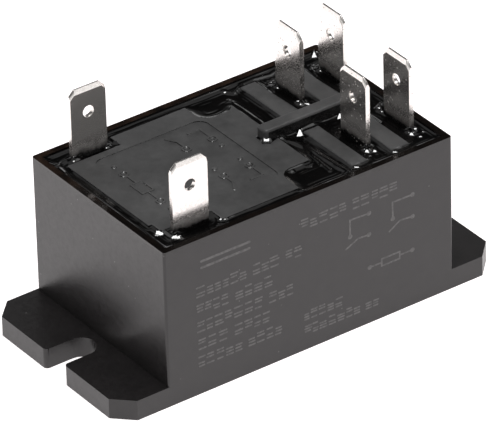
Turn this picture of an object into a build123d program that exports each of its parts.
from build123d import *
import math
import os

# Two-pole flange-mount power relay with quick-connect tabs and a potted base.
# Frame: +X along the body towards the load terminals, +Y across the body,
# +Z up. The flat mounting face is Z = 0, the tabs point up. Millimetres.

# ---------------------------------------------------------------- case
BODY_L = 52.3          # body length, X
BODY_W = 33.8          # body width, Y
BODY_H = 26.7          # open rim above the mounting face
WALL = 1.1             # case wall
FLOOR = 1.5            # case floor
EDGE_R = 0.4           # vertical corner radius of the body
EAR_T = 3.4            # mounting ear thickness
EARS_L = 69.4          # length over both ears
EAR_C = 3.0            # ear corner chamfer
SLOT_W = 4.8           # open mounting slot width
SLOT_PITCH = 60.0      # between the round ends of the two slots
SLOT_LIP = 0.7         # rounding at the slot mouth
POST = 2.0             # square corner posts under the base plate
BARRIER_X = 10.5       # start of the wall between the two poles
BARRIER_T = 1.2        # thickness of that wall
BARRIER_TOP = 21.0     # top of that wall
CAV_X = BODY_L / 2 - WALL
CAV_Y = BODY_W / 2 - WALL

# ---------------------------------------------------------------- base plate
SLAB_Z0 = 22.8         # underside of the slab
SLAB_Z1 = 24.2         # top of the slab
EMBED = 0.4            # how far raised features run into the slab
PLATE_GAP = 0.1        # base plate to case wall
PLAT_Z = 26.6          # raised platform and pole barriers
RIB_Z = 28.5           # creepage rib between the two poles
RESIN_Z = 26.2         # sealing resin level
PLAT_X0, PLAT_X1 = -23.4, 5.75     # platform ends
PLAT_Y0, PLAT_Y1 = -11.5, 11.6     # platform sides beside the coil tabs
WAIST_X0 = -13.8                   # the platform widens from here
WAIST_Y = 14.3                     # half width of the wide stretch
NOTCH_R = 2.3                      # corner radius of the two notches
FRONT_NOTCH = (0.0, -9.0)          # inner corner of the front notch
REAR_NOTCH = (-0.2, 9.45)          # inner corner of the rear notch
REAR_NOTCH_W = 6.15                # rear notch length, out past the platform end
FINGER = (-22.8, -22.2, -13.6)     # thin wall beside the front coil tab
STEP_Y = -9.2                      # platform end steps in beyond this line
BARS = ((9.75, 12.65), (17.0, 20.3))   # pole barriers, X ranges
BAR_IN, BAR_OUT = 1.9, 14.1        # pole barriers, |Y| range
RIB = (3.45, 21.0, 1.2)            # rib start, end and half width
RIB_R = 0.6                        # rib corner radius at its free end
PANEL = (-20.1, 0.0, 10.2)         # recessed panel: X range, half width
PANEL_R = 1.8                      # its corner radius
PANEL_D = 0.14                     # its depth
STROKE = 0.28                      # line width of the raised diagram
DOT_R = 0.4                        # raised dots beside the terminals
RING_R = 0.8                       # raised terminal rings

# ---------------------------------------------------------------- terminals
TAB_W = 6.35           # quick-connect tab width
TAB_T = 0.8            # quick-connect tab thickness
TAB_TOP = 38.1         # tab tips above the mounting face
TAB_HOLE = 1.9         # detent hole
TAB_HOLE_DROP = 4.3    # detent hole below the tip
TAB_C = 0.95           # tip corner chamfer
TAB_BEV = 0.25         # lead-in bevel depth on each face
TAB_BEV_H = 0.75       # lead-in bevel height along the tip
TAB_BEV_CORNER = 0.4   # and along the two corner chamfers
TAB_SHOULDER = SLAB_Z0 - 0.6       # underside of a coil tab's shoulders
TAIL_W = 3.0           # coil tab tail width
TAIL_Z = 19.0          # coil tab tail end
COIL_X, COIL_Y = -18.65, 12.9      # coil tabs
POLE_Y = 8.2           # load tabs, either side of the rib
COM_X, CON_X = 14.85, 22.85        # inner and outer load tabs
COM_Z = 18.5           # lower end of a common terminal
SHELF_X0 = 15.4        # end of the fixed contact shelf
SHELF_Z = 8.8          # underside of that shelf
SHELF_TOP = SHELF_Z + TAB_T

# ---------------------------------------------------------------- contacts
CONTACT_X = 18.0       # contact axis
FIX_R, FIX_H = 2.25, 1.2           # fixed contact head
FIX_SHANK_R = 1.0
FIX_TAIL_R, FIX_TAIL_H = 1.5, 0.5  # closed rivet head under the shelf
FIX_TOP = SHELF_TOP + FIX_H        # fixed contact face
MOV_R, MOV_H = 2.1, 1.5            # moving contact head
MOV_SHANK_R = 0.9
MOV_TAIL_R, MOV_TAIL_H = 1.4, 0.5
CONTACT_EDGE = 0.3     # rounding of the contact faces
RUN = 0.05             # clearance left when closed
BLADE_T, BLADE_W, BLADE_X1 = 0.3, 5.4, 20.6
BLADE_Z0 = FIX_TOP + RUN + MOV_H
BLADE_Z1 = BLADE_Z0 + BLADE_T

# ---------------------------------------------------------------- magnet
AXIS_Z = 12.0                      # coil axis height
HINGE_X, HINGE_Z = -0.35, 22.0     # armature hinge axis
SWING = 4.4                        # degrees between open and closed
ARM_T, ARM_W, ARM_Z = 1.5, 14.0, 5.2   # armature thickness, width, lower end
YOKE_T = 1.5
YOKE_X0 = -CAV_X + 0.15            # outer face of the yoke end plate
YOKE_W, LEG_W = 17.0, 15.0
YOKE_Z = 3.4                       # lower end of the end plate
LEG_Z0 = SLAB_Z0 - 1.6             # underside of the yoke leg
POLE_X = HINGE_X - ARM_T / 2 - RUN     # pole face and end of the leg
CORE_R, CORE_TAIL_R, POLE_R = 3.5, 2.25, 5.0
RING_OUT, RING_IN, RING_D = 4.1, 3.2, 0.9   # shading ring groove
FLANGE = 17.2                      # square bobbin flange
FLANGE_R = 1.2
FL_L = (YOKE_X0 + YOKE_T, YOKE_X0 + YOKE_T + 1.2)
FL_R = (-4.2, -3.0)
HUB_R, WIND_R, TAPE_T = 4.6, 8.0, 0.15
TAPE_GAP = 0.3                     # bare winding beside each flange
LEAD_R = 0.3

# ---------------------------------------------------------------- rivets
FRAME_RIVETS = ((-17.5, -5.0), (-17.5, 5.0))
FRAME_RIVET_R, FRAME_HEAD_R, FRAME_HEAD_H = 1.1, 1.8, 0.5
SPRING_RIVETS = (-7.8, -5.2)
SPRING_RIVET_R, SPRING_HEAD_R, SPRING_HEAD_H = 0.8, 1.3, 0.35
CLINCH_R, CLINCH_H = 1.2, 0.3
CARRIER_RIVETS = (-4.6, 4.6)
CARRIER_RIVET_Z, CARRIER_RIVET_R = 18.3, 0.8
CARRIER_HEAD_R, CARRIER_HEAD_H = 1.25, 0.5
CARRIER_GRIP = 1.0                 # rivet length inside the carrier

# ---------------------------------------------------------------- spring
SPRING_T, SPRING_W = 0.2, 6.0
SPRING_X0, SPRING_X1 = -9.4, 0.75  # flat arm of the leaf
SPRING_LEG_Z = (19.9, SLAB_Z0 - 0.7)   # arm that presses on the armature
TOUCH = 0.01                       # gap between two faces that only touch
RECESS = (-9.6, 2.2, 4.0, 0.7)     # recess over the leaf: X range, half width, depth

# ---------------------------------------------------------------- carrier
CAR_X0, CAR_X1 = HINGE_X + ARM_T / 2, 6.6
CAR_W = 23.2
CAR_Z0, CAR_Z1 = 9.6, 19.4
CAR_WEB = 1.6                      # carrier wall thickness
CAR_OPEN = 4.4                     # half width of the opening between the poles
SPRING_POCKET = (0.7, 3.4, 1.3)    # depth, half width and height of the leaf's pocket
STOP_X = (2.6, 5.4)                # stop post of the open position
STOP_W = 6.0
STOP_GAP = 0.06
BRAID_R = 0.7


def box(x0, x1, y0, y1, z0, z1):
    centre = Pos((x0 + x1) / 2, (y0 + y1) / 2, (z0 + z1) / 2)
    return centre * Box(abs(x1 - x0), abs(y1 - y0), abs(z1 - z0))


def cyl_x(x0, x1, y, z, r):
    return Pos((x0 + x1) / 2, y, z) * (Rot(0, 90, 0) * Cylinder(r, x1 - x0))


def cyl_z(x, y, z0, z1, r):
    return Pos(x, y, (z0 + z1) / 2) * Cylinder(r, z1 - z0)


def one(shape):
    """A node is written as a single solid or a compound of clean solids."""
    solids = list(shape.solids())
    return solids[0] if len(solids) == 1 else Compound(children=solids)


# ---------------------------------------------------------------- open position
def rest(shape):
    """Swing a part drawn in the closed position to the open rest position."""
    about = Pos(HINGE_X, 0, HINGE_Z)
    return about * (Rot(0, -SWING, 0) * (about.inverse() * shape))


def rest_point(x, z):
    """Where a point (x, z) drawn in the closed position lies at rest."""
    a = math.radians(SWING)
    dx, dz = x - HINGE_X, z - HINGE_Z
    return (HINGE_X + dx * math.cos(a) - dz * math.sin(a),
            HINGE_Z + dx * math.sin(a) + dz * math.cos(a))


# ---------------------------------------------------------------- case
def ear_outline():
    x, y, c = EARS_L / 2, BODY_W / 2, EAR_C
    corners = [(x, y - c), (x - c, y), (-x + c, y), (-x, y - c)]
    return corners + [(-px, -py) for px, py in corners]


def mounting_slot(side):
    """Open U slot through one ear, with rounded mouth corners."""
    end = side * SLOT_PITCH / 2
    tip = side * EARS_L / 2
    slot = box(end, tip + side, -SLOT_W / 2, SLOT_W / 2, -1, EAR_T + 1)
    slot += cyl_z(end, 0, -1, EAR_T + 1, SLOT_W / 2)
    for t in (-1, 1):
        y0, y1 = t * SLOT_W / 2, t * (SLOT_W / 2 + SLOT_LIP)
        x = tip - side * SLOT_LIP
        slot += box(x, tip + side, y0 - t * 0.1, y1, 0, EAR_T) - cyl_z(
            x, y1, -1, EAR_T + 1, SLOT_LIP)
    return slot


def make_case():
    body = box(-BODY_L / 2, BODY_L / 2, -BODY_W / 2, BODY_W / 2, 0, BODY_H)
    body = fillet(body.edges().filter_by(Axis.Z), EDGE_R)
    ears = extrude(make_face(Polyline(*ear_outline(), close=True)), amount=EAR_T)
    case = body + ears
    case -= box(-CAV_X, CAV_X, -CAV_Y, CAV_Y, FLOOR, BODY_H + 1)
    for side in (-1, 1):
        case -= mounting_slot(side)
    for sx in (-1, 1):
        for sy in (-1, 1):
            case += box(sx * CAV_X, sx * (CAV_X - POST),
                        sy * CAV_Y, sy * (CAV_Y - POST), FLOOR, SLAB_Z0)
    case += box(BARRIER_X, CAV_X, -BARRIER_T / 2, BARRIER_T / 2,
                FLOOR, BARRIER_TOP)
    return one(case)


# ---------------------------------------------------------------- terminals
def lead_in(x, z, turn, height):
    """Two wedges that thin a tip edge at (x, z), whose outward side is turned from +Z."""
    t = TAB_T / 2
    cuts = []
    for s in (-1, 1):
        wedge = make_face(Polyline((s * (t - TAB_BEV), 0), (s * (t - TAB_BEV), 1),
                                   (s * (t + 1), 1), (s * (t + 1), -height),
                                   (s * t, -height), close=True))
        prism = Rot(0, 0, 90) * (Rot(90, 0, 0) * extrude(wedge, amount=TAB_W, both=True))
        cuts.append(Pos(x, 0, z) * (Rot(0, turn, 0) * prism))
    return cuts


def tab_blank(bottom):
    """Tab in the XZ plane, width along X, thickness along Y."""
    w, t = TAB_W / 2, TAB_T / 2
    face = make_face(Polyline((-w, bottom), (w, bottom), (w, TAB_TOP - TAB_C),
                              (w - TAB_C, TAB_TOP), (-w + TAB_C, TAB_TOP),
                              (-w, TAB_TOP - TAB_C), close=True))
    tab = Rot(90, 0, 0) * extrude(face, amount=t, both=True)
    cuts = lead_in(0, TAB_TOP, 0, TAB_BEV_H)
    for side in (-1, 1):
        cuts += lead_in(side * (w - TAB_C / 2), TAB_TOP - TAB_C / 2, side * 45,
                        TAB_BEV_CORNER)
    for cut in cuts:
        tab -= cut
    hole = Rot(90, 0, 0) * Cylinder(TAB_HOLE / 2, 2 * TAB_T)
    return tab - Pos(0, 0, TAB_TOP - TAB_HOLE_DROP) * hole


def coil_terminal(side):
    tab = tab_blank(TAB_SHOULDER)
    tab += box(-TAIL_W / 2, TAIL_W / 2, -TAB_T / 2, TAB_T / 2,
               TAIL_Z, TAB_SHOULDER)
    return Pos(COIL_X, side * COIL_Y, 0) * one(tab)


def common_terminal(side):
    return Pos(COM_X, side * POLE_Y, 0) * (Rot(0, 0, 90) * one(tab_blank(COM_Z)))


def contact_terminal(side):
    """Tab bent at its foot into a shelf for the fixed contact."""
    part = Pos(CON_X, 0, 0) * (Rot(0, 0, 90) * tab_blank(SHELF_Z))
    part += box(SHELF_X0, CON_X, -TAB_W / 2, TAB_W / 2, SHELF_Z, SHELF_TOP)
    bend_x = CON_X + TAB_T / 2 - TAB_T
    corner = box(bend_x, bend_x + TAB_T, -TAB_W, TAB_W, SHELF_Z, SHELF_TOP)
    corner -= Pos(bend_x, 0, SHELF_TOP) * (
        Rot(90, 0, 0) * Cylinder(TAB_T, 3 * TAB_W))
    part -= corner
    part -= cyl_z(CONTACT_X, 0, SHELF_Z - 1, SHELF_TOP + 1, FIX_SHANK_R)
    return Pos(0, side * POLE_Y, 0) * one(part)


def fixed_contact(side):
    head = cyl_z(CONTACT_X, 0, SHELF_TOP, FIX_TOP, FIX_R)
    head = fillet(head.edges().group_by(Axis.Z)[-1], CONTACT_EDGE)
    head += cyl_z(CONTACT_X, 0, SHELF_Z, SHELF_TOP, FIX_SHANK_R)
    head += cyl_z(CONTACT_X, 0, SHELF_Z - FIX_TAIL_H, SHELF_Z, FIX_TAIL_R)
    return Pos(0, side * POLE_Y, 0) * one(head)


def terminal_slots():
    """The six slots that the tabs pass through."""
    slots = []
    for s in (-1, 1):
        slots.append(box(COIL_X - TAB_W / 2, COIL_X + TAB_W / 2,
                         s * COIL_Y - TAB_T / 2, s * COIL_Y + TAB_T / 2,
                         SLAB_Z0 - 1, RIB_Z))
        for x in (COM_X, CON_X):
            slots.append(box(x - TAB_T / 2, x + TAB_T / 2,
                             s * POLE_Y - TAB_W / 2, s * POLE_Y + TAB_W / 2,
                             SLAB_Z0 - 1, RIB_Z))
    return slots


# ---------------------------------------------------------------- base plate
def notch(x0, x1, y0, y1):
    """Rounded rectangle that is cut from the platform's edge."""
    shape = RectangleRounded(x1 - x0, y1 - y0, NOTCH_R)
    return Pos((x0 + x1) / 2, (y0 + y1) / 2, SLAB_Z1) * extrude(
        shape, amount=PLAT_Z)


def platform():
    z0 = SLAB_Z1 - EMBED
    block = box(PLAT_X0, PLAT_X1, PLAT_Y0, PLAT_Y1, z0, PLAT_Z)
    block += box(WAIST_X0, PLAT_X1, -WAIST_Y, WAIST_Y, z0, PLAT_Z)
    block += box(FINGER[0], FINGER[1], FINGER[2], PLAT_Y0 + 1, z0, PLAT_Z)
    block -= box(PLAT_X0, FINGER[0], PLAT_Y0, STEP_Y, SLAB_Z1, PLAT_Z)
    reach = 2 * WAIST_Y
    block -= notch(FRONT_NOTCH[0], BARS[0][0], -reach, FRONT_NOTCH[1])
    block -= notch(REAR_NOTCH[0], REAR_NOTCH[0] + REAR_NOTCH_W,
                   REAR_NOTCH[1], reach)
    return block


def stroke(a, b, z0, z1):
    """Raised line from point a to point b, with square ends."""
    run = math.dist(a, b)
    turn = math.degrees(math.atan2(b[1] - a[1], b[0] - a[0]))
    middle = Pos((a[0] + b[0]) / 2, (a[1] + b[1]) / 2, (z0 + z1) / 2)
    return middle * (Rot(0, 0, turn) * Box(run + STROKE, STROKE, z1 - z0))


def ring(x, y, z0, z1):
    return cyl_z(x, y, z0, z1, RING_R) - cyl_z(x, y, z0, z1, RING_R - STROKE)


def diagram():
    """Raised circuit diagram: a coil on the left and two contacts."""
    z0, z1 = PLAT_Z - 2 * PANEL_D, PLAT_Z
    coil_x, arm_x, fix_x = -18.05, -6.7, -2.0
    half_w, half_h = 1.0, 1.5
    ring_y, lead_y, dot_y = 4.7, 8.0, 2.35
    box_line = [(coil_x - half_w, -half_h), (coil_x + half_w, -half_h),
                (coil_x + half_w, half_h), (coil_x - half_w, half_h)]
    lines = [(box_line[i - 1], box_line[i]) for i in range(4)]
    shapes = []
    for s in (-1, 1):
        lines.append(((coil_x, s * half_h), (coil_x, s * (ring_y - RING_R))))
        lines.append(((arm_x, s * (ring_y + RING_R)), (arm_x, s * 7.0)))
        lines.append(((arm_x, s * 7.0), (arm_x - 1.0, s * 8.8)))
        lines.append(((fix_x, s * (ring_y + RING_R)), (fix_x, s * lead_y)))
        lines.append(((fix_x, s * lead_y), (fix_x - 2.1, s * lead_y)))
        for x in (coil_x, arm_x, fix_x):
            shapes.append(ring(x, s * ring_y, z0, z1))
        for x, y in ((coil_x, 7.2), (arm_x, dot_y), (fix_x, dot_y)):
            shapes.append(cyl_z(x, s * y, z0, z1, DOT_R))
    shapes += [stroke(a, b, z0, z1) for a, b in lines]
    return shapes


def make_base_plate():
    base = box(-CAV_X + PLATE_GAP, CAV_X - PLATE_GAP,
               -CAV_Y + PLATE_GAP, CAV_Y - PLATE_GAP, SLAB_Z0, SLAB_Z1)
    top = platform()
    panel = RectangleRounded(PANEL[1] - PANEL[0], 2 * PANEL[2], PANEL_R)
    top -= Pos((PANEL[0] + PANEL[1]) / 2, 0, PLAT_Z - PANEL_D) * extrude(
        panel, amount=PLAT_Z)
    for shape in diagram():
        top += shape
    base += top
    for x0, x1 in BARS:
        z0 = SLAB_Z1 - EMBED
        base += box(x0, x1, -BAR_OUT, -BAR_IN, z0, PLAT_Z)
        base += box(x0, x1, 0, BAR_OUT, z0, PLAT_Z)
    rib = box(RIB[0], RIB[1], -RIB[2], RIB[2], SLAB_Z1 - EMBED, RIB_Z)
    free_end = rib.edges().filter_by(Axis.Z).sort_by(Axis.X)[:2]
    base += fillet(free_end, RIB_R)
    stop_z = rest_point(STOP_X[1] + 0.3, CAR_Z1)[1] + STOP_GAP
    base += box(STOP_X[0], STOP_X[1], -STOP_W / 2, STOP_W / 2,
                stop_z, SLAB_Z0 + 0.2)
    base -= box(RECESS[0], RECESS[1], -RECESS[2], RECESS[2],
                SLAB_Z0 - RUN, SLAB_Z0 + RECESS[3])
    for slot in terminal_slots():
        base -= slot
    for x, y in FRAME_RIVETS:
        base -= cyl_z(x, y, SLAB_Z0, SLAB_Z1 - EMBED, FRAME_RIVET_R)
    return one(base)


def make_resin(base):
    resin = box(-CAV_X, CAV_X, -CAV_Y, CAV_Y, SLAB_Z1, RESIN_Z) - base
    for slot in terminal_slots():
        resin -= slot
    return one(resin)


# ---------------------------------------------------------------- magnet
def make_yoke():
    yoke = box(YOKE_X0, YOKE_X0 + YOKE_T, -YOKE_W / 2, YOKE_W / 2,
               YOKE_Z, SLAB_Z0)
    yoke += box(YOKE_X0, POLE_X, -LEG_W / 2, LEG_W / 2, LEG_Z0, SLAB_Z0)
    yoke -= cyl_x(YOKE_X0 - 1, YOKE_X0 + YOKE_T + 1, 0, AXIS_Z, CORE_TAIL_R)
    for x, y in FRAME_RIVETS:
        yoke -= cyl_z(x, y, LEG_Z0 - 1, SLAB_Z0 + 1, FRAME_RIVET_R)
    for x in SPRING_RIVETS:
        yoke -= cyl_z(x, 0, LEG_Z0 - 1, SLAB_Z0 + 1, SPRING_RIVET_R)
    return one(yoke)


def make_yoke_rivets():
    solids = []
    for x, y in FRAME_RIVETS:
        rivet = cyl_z(x, y, LEG_Z0, SLAB_Z1 - EMBED, FRAME_RIVET_R)
        rivet += cyl_z(x, y, LEG_Z0 - FRAME_HEAD_H, LEG_Z0, FRAME_HEAD_R)
        solids.append(one(rivet))
    return Compound(children=solids)


def make_core():
    core = cyl_x(FL_L[0], FL_R[1], 0, AXIS_Z, CORE_R)
    core += cyl_x(YOKE_X0, FL_L[0], 0, AXIS_Z, CORE_TAIL_R)
    core += cyl_x(FL_R[1], POLE_X, 0, AXIS_Z, POLE_R)
    groove = cyl_x(POLE_X - RING_D, POLE_X + 1, 0, AXIS_Z, RING_OUT)
    groove -= cyl_x(POLE_X - RING_D, POLE_X + 1, 0, AXIS_Z, RING_IN)
    return one(core - groove)


def make_shading_ring():
    x0, x1 = POLE_X - RING_D, POLE_X - RUN
    ring_blank = cyl_x(x0, x1, 0, AXIS_Z, RING_OUT)
    return one(ring_blank - cyl_x(x0 - 1, x1 + 1, 0, AXIS_Z, RING_IN))


def make_bobbin():
    bobbin = cyl_x(FL_L[0], FL_R[1], 0, AXIS_Z, HUB_R)
    half = FLANGE / 2
    for x0, x1 in (FL_L, FL_R):
        flange = box(x0, x1, -half, half, AXIS_Z - half, AXIS_Z + half)
        bobbin += fillet(flange.edges().filter_by(Axis.X), FLANGE_R)
    return one(bobbin - cyl_x(FL_L[0] - 1, FL_R[1] + 1, 0, AXIS_Z, CORE_R))


def make_winding():
    wire = cyl_x(FL_L[1], FL_R[0], 0, AXIS_Z, WIND_R)
    return one(wire - cyl_x(FL_L[1] - 1, FL_R[0] + 1, 0, AXIS_Z, HUB_R))


def make_tape():
    wrap = cyl_x(FL_L[1] + TAPE_GAP, FL_R[0] - TAPE_GAP, 0, AXIS_Z,
                 WIND_R + TAPE_T)
    return one(wrap - cyl_x(FL_L[1], FL_R[0], 0, AXIS_Z, WIND_R))


def coil_lead(side):
    """Lead wire from the winding to the tail of a coil terminal."""
    y_in = WIND_R + TAPE_T + LEAD_R + TOUCH
    y_out = COIL_Y - TAB_T / 2 - LEAD_R - TOUCH
    path = Spline((COIL_X + 0.4, side * y_in, AXIS_Z),
                  (COIL_X + 0.2, side * (y_in + 1.2), AXIS_Z + 3.8),
                  (COIL_X, side * y_out, TAIL_Z + 1.6),
                  tangents=((0, 0, 1), (0, 0, 1)))
    print(f"coil lead length {path.length:.1f}")
    return one(sweep(Plane(path @ 0, z_dir=path % 0) * Circle(LEAD_R), path=path))


# ---------------------------------------------------------------- hinge spring
def spring_knee(leg_top):
    """Bent web between the flat arm and the tilted arm of the leaf."""
    x, z = leg_top.X, leg_top.Z - SPRING_T
    bend_x = SPRING_X1 - 0.1
    web = make_face(Polyline((bend_x - 0.2, SLAB_Z0),
                             (bend_x, SLAB_Z0 + SPRING_T),
                             (bend_x + 0.27, SLAB_Z0),
                             (x + 0.03, z), (x - 0.18, z),
                             (bend_x - 0.05, SLAB_Z0 - 0.1), close=True))
    return Pos(0, SPRING_W / 2, 0) * (Rot(90, 0, 0) * extrude(
        web, amount=SPRING_W))


def make_hinge_spring():
    """L-shaped leaf: riveted on the yoke, pressing on the armature."""
    half = SPRING_W / 2
    flat = box(SPRING_X0, SPRING_X1, -half, half, SLAB_Z0, SLAB_Z0 + SPRING_T)
    x0 = HINGE_X + ARM_T / 2 + TOUCH
    leg = rest(box(x0, x0 + SPRING_T, -half, half, *SPRING_LEG_Z))
    leg_top = leg.vertices().sort_by(Axis.Z)[-1]
    leaf = flat + spring_knee(leg_top) + leg
    for x in SPRING_RIVETS:
        leaf -= cyl_z(x, 0, SLAB_Z0 - 1, SLAB_Z0 + 1, SPRING_RIVET_R)
    return one(leaf)


def make_spring_rivets():
    solids = []
    top = SLAB_Z0 + SPRING_T
    for x in SPRING_RIVETS:
        rivet = cyl_z(x, 0, LEG_Z0, top, SPRING_RIVET_R)
        rivet += cyl_z(x, 0, top, top + SPRING_HEAD_H, SPRING_HEAD_R)
        rivet += cyl_z(x, 0, LEG_Z0 - CLINCH_H, LEG_Z0, CLINCH_R)
        solids.append(one(rivet))
    return Compound(children=solids)


# ---------------------------------------------------------------- moving group
def make_armature():
    x0, x1 = HINGE_X - ARM_T / 2, HINGE_X + ARM_T / 2
    arm = box(x0, x1, -ARM_W / 2, ARM_W / 2, ARM_Z, HINGE_Z)
    arm += Pos(HINGE_X, 0, HINGE_Z) * (
        Rot(90, 0, 0) * Cylinder(ARM_T / 2, ARM_W))
    for y in CARRIER_RIVETS:
        arm -= cyl_x(x0 - 1, x1 + 1, y, CARRIER_RIVET_Z, CARRIER_RIVET_R)
    return one(rest(arm))


def make_carrier():
    car = box(CAR_X0, CAR_X1, -CAR_W / 2, CAR_W / 2, CAR_Z0, CAR_Z1)
    inner = CAR_X0 + CAR_WEB
    car -= box(inner, CAR_X1 + 1, -CAR_OPEN, CAR_OPEN,
               CAR_Z0 - 1, CAR_Z1 - CAR_WEB)
    depth, half, height = SPRING_POCKET
    car -= box(CAR_X0 - 1, CAR_X0 + depth, -half, half,
               CAR_Z1 - height, CAR_Z1 + 1)
    for s in (-1, 1):
        car -= box(inner, CAR_X1 + 1, s * POLE_Y - BLADE_W / 2,
                   s * POLE_Y + BLADE_W / 2, BLADE_Z0, BLADE_Z1)
    for y in CARRIER_RIVETS:
        car -= cyl_x(CAR_X0 - 1, CAR_X0 + CARRIER_GRIP, y, CARRIER_RIVET_Z,
                     CARRIER_RIVET_R)
    return one(rest(car))


def make_carrier_rivets():
    solids = []
    face = HINGE_X - ARM_T / 2
    for y in CARRIER_RIVETS:
        rivet = cyl_x(face, CAR_X0 + CARRIER_GRIP, y, CARRIER_RIVET_Z,
                      CARRIER_RIVET_R)
        rivet += cyl_x(face - CARRIER_HEAD_H, face, y, CARRIER_RIVET_Z,
                       CARRIER_HEAD_R)
        solids.append(one(rest(rivet)))
    return Compound(children=solids)


def blade(side):
    y = side * POLE_Y
    strip = box(CAR_X0 + CAR_WEB, BLADE_X1, y - BLADE_W / 2, y + BLADE_W / 2,
                BLADE_Z0, BLADE_Z1)
    strip -= cyl_z(CONTACT_X, y, BLADE_Z0 - 1, BLADE_Z1 + 1, MOV_SHANK_R)
    return one(rest(strip))


def moving_contact(side):
    y = side * POLE_Y
    head = cyl_z(CONTACT_X, y, BLADE_Z0 - MOV_H, BLADE_Z0, MOV_R)
    head = fillet(head.edges().group_by(Axis.Z)[0], CONTACT_EDGE)
    head += cyl_z(CONTACT_X, y, BLADE_Z0, BLADE_Z1, MOV_SHANK_R)
    head += cyl_z(CONTACT_X, y, BLADE_Z1, BLADE_Z1 + MOV_TAIL_H, MOV_TAIL_R)
    return one(rest(head))


def braid(side):
    """Flexible strand between the common terminal and the blade."""
    y = side * POLE_Y
    z = BLADE_Z1 + BRAID_R + 2 * TOUCH
    low_x, low_z = rest_point(8.6, z)
    mid_x, mid_z = rest_point(10.4, z + 0.05)
    top = Vector(COM_X - TAB_T / 2 - BRAID_R - TOUCH, y, COM_Z + 1.7)
    a = math.radians(SWING)
    path = Spline(top, Vector(13.0, y, 16.2), Vector(mid_x, y, mid_z),
                  Vector(low_x, y, low_z),
                  tangents=((0, 0, -1), (-math.cos(a), 0, -math.sin(a))))
    print(f"braid length {path.length:.1f}")
    return one(sweep(Plane(path @ 0, z_dir=path % 0) * Circle(BRAID_R), path=path))


# ---------------------------------------------------------------- all nodes
def two(name, maker):
    """The rear and the front copy of a part."""
    return {f"{name}_rear": maker(1), f"{name}_front": maker(-1)}


def build():
    base = make_base_plate()
    nodes = {"case": make_case(), "base_plate": base,
             "sealing_resin": make_resin(base)}
    nodes |= two("coil_terminal", coil_terminal)
    nodes |= two("common_terminal", common_terminal)
    nodes |= two("contact_terminal", contact_terminal)
    nodes |= two("fixed_contact", fixed_contact)
    nodes |= {"yoke": make_yoke(), "yoke_rivets": make_yoke_rivets(),
              "core": make_core(), "shading_ring": make_shading_ring(),
              "bobbin": make_bobbin(), "winding": make_winding(),
              "coil_tape": make_tape()}
    nodes |= two("coil_lead", coil_lead)
    nodes |= {"hinge_spring": make_hinge_spring(),
              "hinge_spring_rivets": make_spring_rivets(),
              "armature": make_armature(),
              "contact_carrier": make_carrier(),
              "carrier_rivets": make_carrier_rivets()}
    nodes |= two("blade", blade)
    nodes |= two("moving_contact", moving_contact)
    nodes |= two("braid", braid)
    os.makedirs("parts", exist_ok=True)
    for name, shape in nodes.items():
        shape.label = name
        export_step(shape, f"parts/{name}.step")


build()
